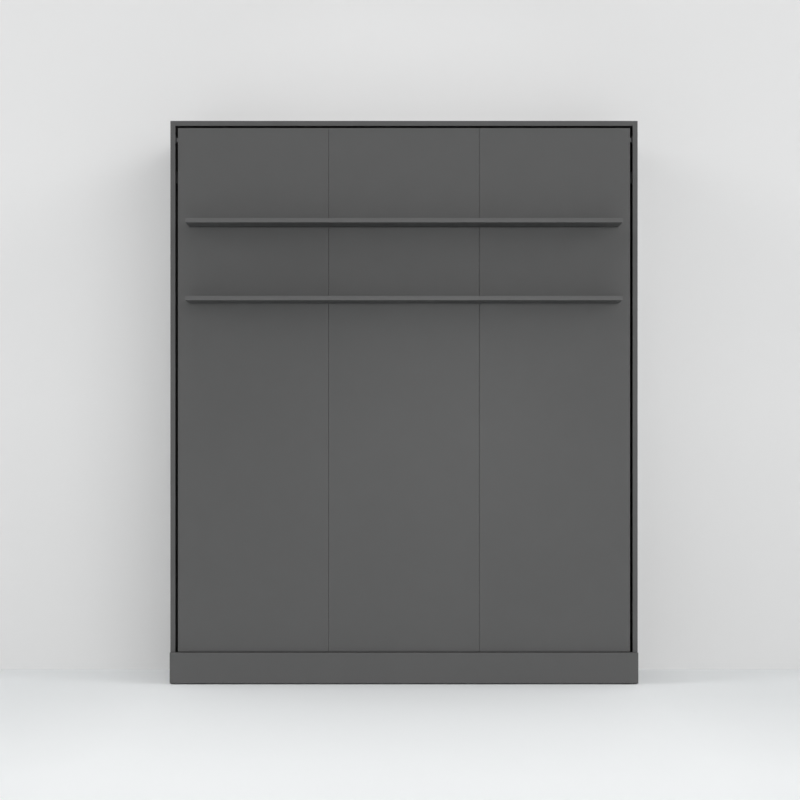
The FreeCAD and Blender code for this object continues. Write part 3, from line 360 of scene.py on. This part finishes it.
def slot_materials():
    """The finish and the colour of each of the record's slots; the boards get theirs piece by piece."""
    colours = {entry["slot"]: tuple(entry["base_color"][:3]) for entry in frame["record"]["materials"]}
    makers = {
        "frame_steel": powder_coat,
        "zinc_hardware": zinc,
        "bush_bronze": bronze,
        "spring_black": lacquer,
        "rod_chrome": chrome,
        "beech": beech,
        "stop_rubber": rubber,
        "mattress_ticking": ticking,
        "strap_webbing": webbing,
    }
    made = {slot: maker(slot, colours[slot]) for slot, maker in makers.items()}
    made["plate_steel"] = brushed_steel("plate_steel", colours["plate_steel"], along=Z_AXIS)
    made["black_plastic"] = plastic("black_plastic", colours["black_plastic"], low=0.68, high=0.8)
    made["catch_grey"] = plastic("catch_grey", colours["catch_grey"], low=0.6, high=0.74)
    return made, colours


finishes, slot_colours = slot_materials()
for subpart in frame["record"]["subparts"]:
    name = subpart["node"]
    slot = subpart["material_slot"]
    cad[name].data.materials.clear()
    cad[name].data.materials.append(finishes.get(slot) or melamine(name, slot_colours[slot]))


# Helpers for new pieces
TUBE_ROUNDNESS = 4


def new_piece(name, mesh, slot, body, replaced=()):
    piece = bpy.data.objects.new(name, mesh)
    bpy.context.scene.collection.objects.link(piece)
    mesh.materials.clear()
    mesh.materials.append(finishes[slot])
    mesh.polygons.foreach_set("use_smooth", [True] * len(mesh.polygons))
    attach(piece, body)
    if replaced:
        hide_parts(*replaced)
    return piece


def tube_mesh(name, points, radius, closed):
    """A round tube along a line through the points."""
    curve = bpy.data.curves.new(name, "CURVE")
    curve.dimensions = "3D"
    curve.bevel_depth = radius
    curve.bevel_resolution = TUBE_ROUNDNESS
    spline = curve.splines.new("POLY")
    spline.points.add(len(points) - 1)
    for place, point in zip(spline.points, points):
        place.co = (*point, 1)
    spline.use_cyclic_u = closed
    curve.use_fill_caps = not closed
    holder = bpy.data.objects.new(name, curve)
    bpy.context.scene.collection.objects.link(holder)
    bpy.context.view_layer.update()
    mesh = bpy.data.meshes.new_from_object(holder.evaluated_get(bpy.context.evaluated_depsgraph_get()))
    bpy.data.objects.remove(holder)
    return mesh


# Mattress: a closed shell on a lattice, its cover stitched down in diamonds and swollen by a cloth simulation
CELL = 0.016
CROWN = 0.009
BULGE = 0.005
PLAN_CORNER = 0.055
PIPING = 0.0045
PIPING_STEPS = 10
REST = 0.0006
SWELL_FRAMES = 20

# Its quilting, in cells of the lattice, and the level of a stitch's wave above which its thread shows
QUILT_CELLS = 10
CORNER_CELLS = 5
GROOVE_AND_SHADE_CELLS = 0.5
THREAD_CELLS = 0.09
STITCH_CELLS = 0.2
STITCH_LEVEL = -0.6


def plan_rounded(x, z, half_x, half_z):
    """A place on the mattress, drawn in so that its four corners are round in plan."""
    over_x = (abs(x) - (half_x - PLAN_CORNER)) / PLAN_CORNER
    over_z = (abs(z) - (half_z - PLAN_CORNER)) / PLAN_CORNER
    if over_x <= 0 or over_z <= 0:
        return x, z
    round_x = over_x * math.sqrt(1 - over_z * over_z / 2)
    round_z = over_z * math.sqrt(1 - over_x * over_x / 2)
    return (
        math.copysign(half_x - PLAN_CORNER + round_x * PLAN_CORNER, x),
        math.copysign(half_z - PLAN_CORNER + round_z * PLAN_CORNER, z),
    )


class Mattress:
    """The lattice of the cover: i counts across X, k counts up Y to the lying side, and j counts along Z."""

    def __init__(self):
        self.low, self.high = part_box("mattress")
        self.size = self.high - self.low
        self.middle = (self.high + self.low) / 2
        self.counts = (
            QUILT_CELLS * round(self.size.x / CELL / QUILT_CELLS),
            round(self.size.y / CELL),
            QUILT_CELLS * round(self.size.z / CELL / QUILT_CELLS),
        )
        self.half_x = self.size.x / 2 - BULGE - REST
        self.half_z = self.size.z / 2 - BULGE - REST
        self.top = self.high.y - CROWN - REST
        self.places = {}
        self.faces = []

    def place(self, i, k, j):
        nx, ny, nz = self.counts
        flat_x = self.half_x * (2 * i / nx - 1)
        flat_z = self.half_z * (2 * j / nz - 1)
        x, z = plan_rounded(flat_x, flat_z, self.half_x, self.half_z)
        y = self.low.y + REST + (self.top - self.low.y - REST) * k / ny
        return Vector((self.middle.x + x, y, self.middle.z + z))

    def corner(self, i, k, j):
        """The number of a lattice point, which is made when it is first asked for."""
        key = (i, k, j)
        if key not in self.places:
            self.places[key] = len(self.places)
        return self.places[key]

    def quads(self):
        """Each face of the lattice, and whether it has to be turned over to face outwards."""
        nx, ny, nz = self.counts
        for k in (0, ny):
            for i in range(nx):
                for j in range(nz):
                    yield [(i, k, j), (i + 1, k, j), (i + 1, k, j + 1), (i, k, j + 1)], k > 0
        for i in (0, nx):
            for k in range(ny):
                for j in range(nz):
                    yield [(i, k, j), (i, k + 1, j), (i, k + 1, j + 1), (i, k, j + 1)], i == 0
        for j in (0, nz):
            for i in range(nx):
                for k in range(ny):
                    yield [(i, k, j), (i + 1, k, j), (i + 1, k + 1, j), (i, k + 1, j)], j == 0

    def mesh(self):
        for ring, turned in self.quads():
            face = [self.corner(*key) for key in ring]
            self.faces.append(face[::-1] if turned else face)
        made = bpy.data.meshes.new("mattress_cover")
        made.from_pydata([self.place(*key) for key in self.places], [], self.faces)
        return made

    def stitched(self, i, k, j):
        """Whether the cover is sewn down here: diamonds, piped seams, tacks in the border, and the base."""
        nx, ny, nz = self.counts
        on_side = i in (0, nx) or j in (0, nz)
        if k == 0 or (k == ny and on_side):
            return True
        if k == ny:
            return (i + j) % QUILT_CELLS == 0 or (i - j) % QUILT_CELLS == 0
        along = j if i in (0, nx) else i
        return along % QUILT_CELLS == 0

    def freedom(self, i, k, j):
        """How far the cover may move here, as a share: not at the corners, where it is drawn tight."""
        nx, ny, nz = self.counts
        from_corner = max(min(i, nx - i), min(j, nz - j))
        return min(1.0, from_corner / CORNER_CELLS)

    def sewn(self, finish):
        """The groove along the quilting's diamonds, which also carries painted shade, and the dashes of
        thread in it, each as a mask.
        """
        places = finish.axes()
        nx, ny, nz = self.counts
        start = self.middle - Vector((self.half_x, 0, self.half_z))
        end = self.middle + Vector((self.half_x, 0, self.half_z))
        across = finish.between(places["X"], low=0, high=nx, start=start.x, end=end.x)
        along = finish.between(places["Z"], low=0, high=nz, start=start.z, end=end.z)
        slants = [finish.sums(operation, across, along) for operation in ("ADD", "SUBTRACT")]
        gaps = [finish.sums("PINGPONG", slant, QUILT_CELLS / 2) for slant in slants]
        gap = finish.sums("MINIMUM", *gaps)
        groove_and_shade = finish.between(gap, low=1.0, high=0.0, start=0.0, end=GROOVE_AND_SHADE_CELLS)
        beat = finish.sums("SINE", finish.sums("MULTIPLY", across, 2 * math.pi / STITCH_CELLS))
        dash = finish.sums("GREATER_THAN", beat, STITCH_LEVEL)
        thread = finish.sums("MULTIPLY", finish.sums("LESS_THAN", gap, THREAD_CELLS), dash)
        return groove_and_shade, thread


def swell(piece, form):
    """Run the cover as cloth under pressure, held at its stitches, and keep the shape it takes."""
    pins = piece.vertex_groups.new(name="stitches")
    pins.add([number for key, number in form.places.items() if form.stitched(*key)], 1.0, "REPLACE")
    cloth = piece.modifiers.new("cover", "CLOTH")
    settings = cloth.settings
    settings.vertex_group_mass = pins.name
    settings.quality = 5
    settings.mass = 0.25
    settings.tension_stiffness = 12
    settings.compression_stiffness = 12
    settings.shear_stiffness = 5
    settings.bending_stiffness = 0.4
    settings.shrink_min = -0.025
    settings.use_pressure = True
    settings.uniform_pressure_force = 4
    settings.effector_weights.gravity = 0
    cloth.collision_settings.use_collision = False
    scene = bpy.context.scene
    for step in range(1, SWELL_FRAMES + 1):
        scene.frame_set(step)
    swollen = piece.evaluated_get(bpy.context.evaluated_depsgraph_get()).data
    places = np.empty(len(swollen.vertices) * 3)
    swollen.vertices.foreach_get("co", places)
    piece.modifiers.remove(cloth)
    piece.vertex_groups.remove(pins)
    scene.frame_set(1)
    return places.reshape(-1, 3)


def piping_ring(form, y):
    """Points round the mattress at one depth, with round corners."""
    half_x = form.half_x - PLAN_CORNER
    half_z = form.half_z - PLAN_CORNER
    points = []
    for quarter, (side_x, side_z) in enumerate(((1, 1), (-1, 1), (-1, -1), (1, -1))):
        for step in range(PIPING_STEPS + 1):
            angle = math.pi / 2 * (quarter + step / PIPING_STEPS)
            x = side_x * half_x + PLAN_CORNER * math.cos(angle)
            z = side_z * half_z + PLAN_CORNER * math.sin(angle)
            points.append((form.middle.x + x, y, form.middle.z + z))
    return points


def make_mattress():
    form = Mattress()
    mesh = form.mesh()
    piece = new_piece("quilted_mattress", mesh, "mattress_ticking", "bed", ["mattress"])
    start = np.array([form.place(*key) for key in form.places])
    places = swell(piece, form)
    limit = np.array([BULGE, CROWN, BULGE])
    moved = np.clip(places - start, -limit, limit)
    moved *= np.array([[form.freedom(*key)] for key in form.places])
    mesh.vertices.foreach_set("co", (start + moved).ravel())
    mesh.update()
    mesh.materials.clear()
    mesh.materials.append(ticking("quilted_ticking", slot_colours["mattress_ticking"], form.sewn))
    piece.modifiers.new("rounding", "SUBSURF").render_levels = 1
    for level, y in (("upper", form.top), ("lower", form.low.y + PIPING + REST)):
        ring = piping_ring(form, y)
        cord = tube_mesh(f"{level}_piping", ring, PIPING, closed=True)
        new_piece(f"{level}_mattress_piping", cord, "mattress_ticking", "bed")


# Straps: flat webbing round the mattress, threaded under, over and under the bars of its buckle
STRAP_THICKNESS = 0.0012
STRAP_BEND = 0.012
BEND_STEPS = 8
WINDOW_START = 0.0032
WINDOW_END = 0.013
BAR_STEPS = 16

# Places across a strap, as shares of half its width, and how thick its two edges are, as a share
STRAP_SHARES = (-1.0, -0.94, -0.5, 0.0, 0.5, 0.94, 1.0)
STRAP_EDGE = 0.4


def path_length(path):
    return sum((after - before).length for before, after in zip(path, path[1:]))


def ribbon_mesh(name, path, half_width, thickness):
    """Webbing along a path in X and Y, with its width along Z and slightly thinner edges."""
    half = thickness / 2
    outline = [(share * half_width, half if abs(share) < 1 else half * STRAP_EDGE) for share in STRAP_SHARES]
    outline += [(across, -rise) for across, rise in reversed(outline)]
    count = len(outline)
    rows = []
    for n, place in enumerate(path):
        way = (path[min(n + 1, len(path) - 1)] - path[max(n - 1, 0)]).normalized()
        out = Vector((-way.y, way.x, 0))
        rows += [place + out * rise + Vector((0, 0, across)) for across, rise in outline]
    faces = [
        (n * count + m, n * count + (m + 1) % count, (n + 1) * count + (m + 1) % count, (n + 1) * count + m)
        for n in range(len(path) - 1)
        for m in range(count)
    ]
    faces += [tuple(range(count))[::-1], tuple((len(path) - 1) * count + m for m in range(count))]
    mesh = bpy.data.meshes.new(name)
    mesh.from_pydata(rows, [], faces)
    layer = mesh.uv_layers.new(name=WEAVE)
    lengths = [path_length(path[: n + 1]) for n in range(len(path))]
    for loop in mesh.loops:
        n, m = divmod(loop.vertex_index, count)
        layer.data[loop.index].uv = (lengths[n], outline[m][0])
    return mesh


def arc(centre, radius, start, end):
    """Points on an arc in X and Y about a place, with angles in degrees."""
    angles = [math.radians(start + (end - start) * n / BEND_STEPS) for n in range(BEND_STEPS + 1)]
    return [centre + Vector((math.cos(angle), math.sin(angle), 0)) * radius for angle in angles]


def over_bar(run_y, top_y, z):
    """The rise of a strap through a buckle's two windows and over its middle bar."""
    points = []
    for n in range(-BAR_STEPS, BAR_STEPS + 1):
        x = WINDOW_END * n / BAR_STEPS
        share = min(1.0, (WINDOW_END - abs(x)) / (WINDOW_END - WINDOW_START))
        eased = share * share * (3 - 2 * share)
        points.append(Vector((x, run_y + (top_y - run_y) * eased, z)))
    return points


def make_strap(level, middle_z):
    node = f"{level}_mattress_strap"
    low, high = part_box(node)
    half = STRAP_THICKNESS / 2
    run_y = high.y - half
    side_x = high.x - half
    bend_y = run_y - STRAP_BEND
    bend_x = side_x - STRAP_BEND
    bar_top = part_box("strap_buckles")[1].y
    path = [Vector((-side_x, low.y, middle_z))]
    path += arc(Vector((-bend_x, bend_y, middle_z)), STRAP_BEND, start=180, end=90)
    path += over_bar(run_y, bar_top + half, middle_z)
    path += arc(Vector((bend_x, bend_y, middle_z)), STRAP_BEND, start=90, end=0)
    path.append(Vector((side_x, low.y, middle_z)))
    half_width = (high.z - low.z) / 2
    mesh = ribbon_mesh(node, path, half_width, STRAP_THICKNESS)
    strap = new_piece(f"{level}_strap_webbing", mesh, "strap_webbing", "bed", [node])


# Springs behind the catch plungers, as coils of wire that keep one length
SPRING_WIRE = 0.0008
SPRING_TURNS = 4
SPRING_STEPS = 16


def make_catch_spring(hand):
    node = f"{hand}_catch_spring"
    low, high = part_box(node)
    middle = (low + high) / 2
    radius = (high.z - low.z) / 2 - SPRING_WIRE / 2
    start = low.x + SPRING_WIRE / 2
    run = high.x - low.x - SPRING_WIRE
    points = []
    for n in range(SPRING_TURNS * SPRING_STEPS + 1):
        angle = 2 * math.pi * n / SPRING_STEPS
        x = start + run * n / (SPRING_TURNS * SPRING_STEPS)
        points.append((x, middle.y + radius * math.cos(angle), middle.z + radius * math.sin(angle)))
    coil = tube_mesh(f"{node}_coil", points, SPRING_WIRE / 2, closed=False)
    spring = new_piece(f"{hand}_spring_coil", coil, "zinc_hardware", "bed", [node])
    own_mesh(spring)


make_mattress()
for level in ("lower", "upper"):
    strap_low, strap_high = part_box(f"{level}_mattress_strap")
    make_strap(level, (strap_low.z + strap_high.z) / 2)
for hand, side in (("left", -1), ("right", 1)):
    make_catch_spring(hand)


# Stage: a pale floor, and a wall with an opening where the cabinet's back lies against it
STAGE_REACH = 12.0
WALL_HEIGHT = 6.0
WALL_GAP = 0.001
FLOOR_GAP = 0.0002
OPENING_MARGIN = 0.0005
OPENING_CELL = (0, 1)

# Its paints, as linear albedo, and where they fade: the floor's painted light in X and Y, the wall's painted
# shade in height
WALL_PAINT = (0.72, 0.72, 0.72)
WALL_FOOT_SHADE = 0.9
WALL_FADE = 1.1
FLOOR_PAINT = (0.738, 0.757, 0.765)
MIDDLE_PAINTED_LIGHT = 0.06
MIDDLE_FADE = (0.9, 1.4)
FRONT_PAINTED_LIGHT = 0.15
FRONT_FADE = (-0.5, -2.5)


def paint(name, colour):
    finish = Finish(name, colour, roughness=0.9)
    finish.bump(finish.noise(scale=400, detail=3), depth=0.0001)
    return finish


def one_sided(finish, surface):
    """Show a surface on the side that faces the room; from the other side, it isn't there."""
    away = finish.add("ShaderNodeNewGeometry").outputs["Backfacing"]
    mix = finish.add("ShaderNodeMixShader", Fac=away)
    finish.feed(mix.inputs[1], surface)
    finish.feed(mix.inputs[2], finish.add("ShaderNodeBsdfTransparent").outputs["BSDF"])
    finish.feed(finish.tree.nodes["Material Output"].inputs["Surface"], mix.outputs["Shader"])
    return finish.material


def background_rays(tree):
    """1 for the rays of the camera, and for those that mirrors and glass send on."""
    rays = tree.nodes.new("ShaderNodeLightPath")
    seen = rays.outputs["Is Camera Ray"]
    for kind in ("Is Glossy Ray", "Is Transmission Ray"):
        either = tree.nodes.new("ShaderNodeMath")
        either.operation = "MAXIMUM"
        tree.links.new(seen, either.inputs[0])
        tree.links.new(rays.outputs[kind], either.inputs[1])
        seen = either.outputs[0]
    return seen


def floor_paint():
    """Paint with painted light: a glow for the camera makes it look paler than its light makes it, before the
    cabinet, where it lifts the cabinet's shadow, and in the foreground.
    """
    finish = paint("floor_paint", FLOOR_PAINT)
    finish.shade(finish.noise(scale=1.5, detail=3), dark=0.985, light=1.015)
    places = finish.axes()
    aside = finish.sums("ABSOLUTE", places["X"])
    beside = finish.sums("GREATER_THAN", aside, cad_box[1].x)
    before = finish.sums("LESS_THAN", places["Y"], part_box("plinth_board")[0].y)
    # Painted light: a glow that lifts the cabinet's shadow just before it and brightens the foreground.
    middle = finish.between(aside, MIDDLE_PAINTED_LIGHT, 0.0, *MIDDLE_FADE)
    painted_light = finish.sums("ADD", middle, finish.between(places["Y"], 0.0, FRONT_PAINTED_LIGHT, *FRONT_FADE))
    painted_light = finish.sums("MULTIPLY", painted_light, finish.sums("MAXIMUM", beside, before))
    glow = finish.add("ShaderNodeEmission", Color=(1, 1, 1, 1))
    finish.feed(glow.inputs["Strength"], finish.sums("MULTIPLY", background_rays(finish.tree), painted_light))
    both = finish.add("ShaderNodeAddShader")
    finish.feed(both.inputs[0], finish.shader.outputs["BSDF"])
    finish.feed(both.inputs[1], glow.outputs["Emission"])
    return one_sided(finish, both.outputs["Shader"])


def wall_paint():
    """Paint a little darker towards the floor: painted shade."""
    finish = paint("wall_paint", WALL_PAINT)
    height = finish.axes()["Z"]
    finish.shade(finish.between(height, low=0.0, high=1.0, start=0.0, end=WALL_FADE), WALL_FOOT_SHADE, 1.0)
    return one_sided(finish, finish.shader.outputs["BSDF"])


def stage_plane(name, corners, faces, material):
    mesh = bpy.data.meshes.new(name)
    mesh.from_pydata(corners, [], faces)
    mesh.materials.append(material)
    plane = bpy.data.objects.new(name, mesh)
    bpy.context.scene.collection.objects.link(plane)


def add_floor():
    corners = ((-1, -1), (1, -1), (1, 1), (-1, 1))
    points = [(x * STAGE_REACH, y * STAGE_REACH, -FLOOR_GAP) for x, y in corners]
    stage_plane("floor", points, [(0, 1, 2, 3)], floor_paint())


def add_wall():
    """A grid of quads round the opening, which is left out."""
    opening_x = cad_box[1].x - OPENING_MARGIN
    opening_z = cad_box[1].z - OPENING_MARGIN
    across = (-STAGE_REACH, -opening_x, opening_x, STAGE_REACH)
    heights = (-FLOOR_GAP, opening_z, WALL_HEIGHT)
    points = [(x, WALL_GAP, z) for z in heights for x in across]
    count = len(across)
    faces = []
    for row in range(len(heights) - 1):
        for column in range(count - 1):
            first = row * count + column
            if (row, column) != OPENING_CELL:
                faces.append((first, first + 1, first + count + 1, first + count))
    stage_plane("wall", points, faces, wall_paint())


# Camera: a level view, with a lens and shift that fit the photo's square frame
CAMERA_PLACE = (0.0, -7.39, 0.885)
CAMERA_LENS = 80.4
CAMERA_SENSOR = 36.0
CAMERA_SHIFT = (-0.005, 0.069)


def add_camera():
    data = bpy.data.cameras.new("camera")
    data.lens = CAMERA_LENS
    data.sensor_width = CAMERA_SENSOR
    data.shift_x, data.shift_y = CAMERA_SHIFT
    camera = bpy.data.objects.new("camera", data)
    camera.location = CAMERA_PLACE
    camera.rotation_euler = (math.pi / 2, 0, 0)
    bpy.context.scene.collection.objects.link(camera)
    bpy.context.scene.camera = camera


# Each lamp: the way its light goes, how much of a plain level it gives, and how wide it looks, in degrees
LAMPS = {
    "front": ((-0.04, 1.0, -0.03), 0.34, 4),
    "key": ((-0.45, 0.85, -0.16), 0.20, 40),
    "left_fill": ((0.9, 0.25, -0.4), 0.26, 30),
    "right_fill": ((-0.9, 0.25, -0.4), 0.26, 30),
    "top": ((0.0, 0.15, -1.0), 0.3, 25),
    "rear": ((0.3, -0.95, -0.1), 0.4, 30),
}

# A soft spot for the wall above the cabinet, which misses the front: power in watts, spread in degrees
SPOT_PLACE = (0.0, -3.0, 3.2)
SPOT_TARGET = (0.0, 0.0, 2.46)
SPOT_POWER = 28
SPOT_SPREAD = 15
SPOT_WIDENING = 2.6
SPOT_RADIUS = 0.05

# The share of even light from all round
WORLD_FILL = 0.2


def place_lamp(name, data, way):
    lamp = bpy.data.objects.new(name, data)
    lamp.rotation_mode = "QUATERNION"
    lamp.rotation_quaternion = Vector(way).to_track_quat("-Z", "Y")
    bpy.context.scene.collection.objects.link(lamp)
    return lamp


def add_lamp(name, way, share, spread):
    data = bpy.data.lights.new(name, "SUN")
    data.energy = share * math.pi
    data.angle = math.radians(spread)
    place_lamp(name, data, way)


def add_wall_spot():
    data = bpy.data.lights.new("wall_spot", "SPOT")
    data.energy = SPOT_POWER
    data.spot_size = math.radians(SPOT_SPREAD)
    data.spot_blend = 1.0
    data.shadow_soft_size = SPOT_RADIUS
    lamp = place_lamp("wall_spot", data, Vector(SPOT_TARGET) - Vector(SPOT_PLACE))
    lamp.location = SPOT_PLACE
    lamp.scale = (SPOT_WIDENING, 1, 1)
    lamp.visible_camera = False


def add_world(fill, backdrop):
    """Even light from all round, and a pale backdrop for the camera, mirrors and glass."""
    world = bpy.data.worlds.new("studio")
    world.use_nodes = True
    tree = world.node_tree
    tree.nodes["Background"].inputs["Strength"].default_value = fill
    tree.nodes["Background"].inputs["Color"].default_value = (1, 1, 1, 1)
    seen = tree.nodes.new("ShaderNodeBackground")
    seen.inputs["Color"].default_value = (*backdrop, 1)
    mix = tree.nodes.new("ShaderNodeMixShader")
    tree.links.new(background_rays(tree), mix.inputs["Fac"])
    tree.links.new(tree.nodes["Background"].outputs["Background"], mix.inputs[1])
    tree.links.new(seen.outputs["Background"], mix.inputs[2])
    tree.links.new(mix.outputs["Shader"], tree.nodes["World Output"].inputs["Surface"])
    bpy.context.scene.world = world


add_floor()
add_wall()
add_camera()
for name, settings in LAMPS.items():
    add_lamp(name, *settings)
add_wall_spot()
add_world(WORLD_FILL, WALL_PAINT)
bpy.context.scene.view_settings.view_transform = "Standard"
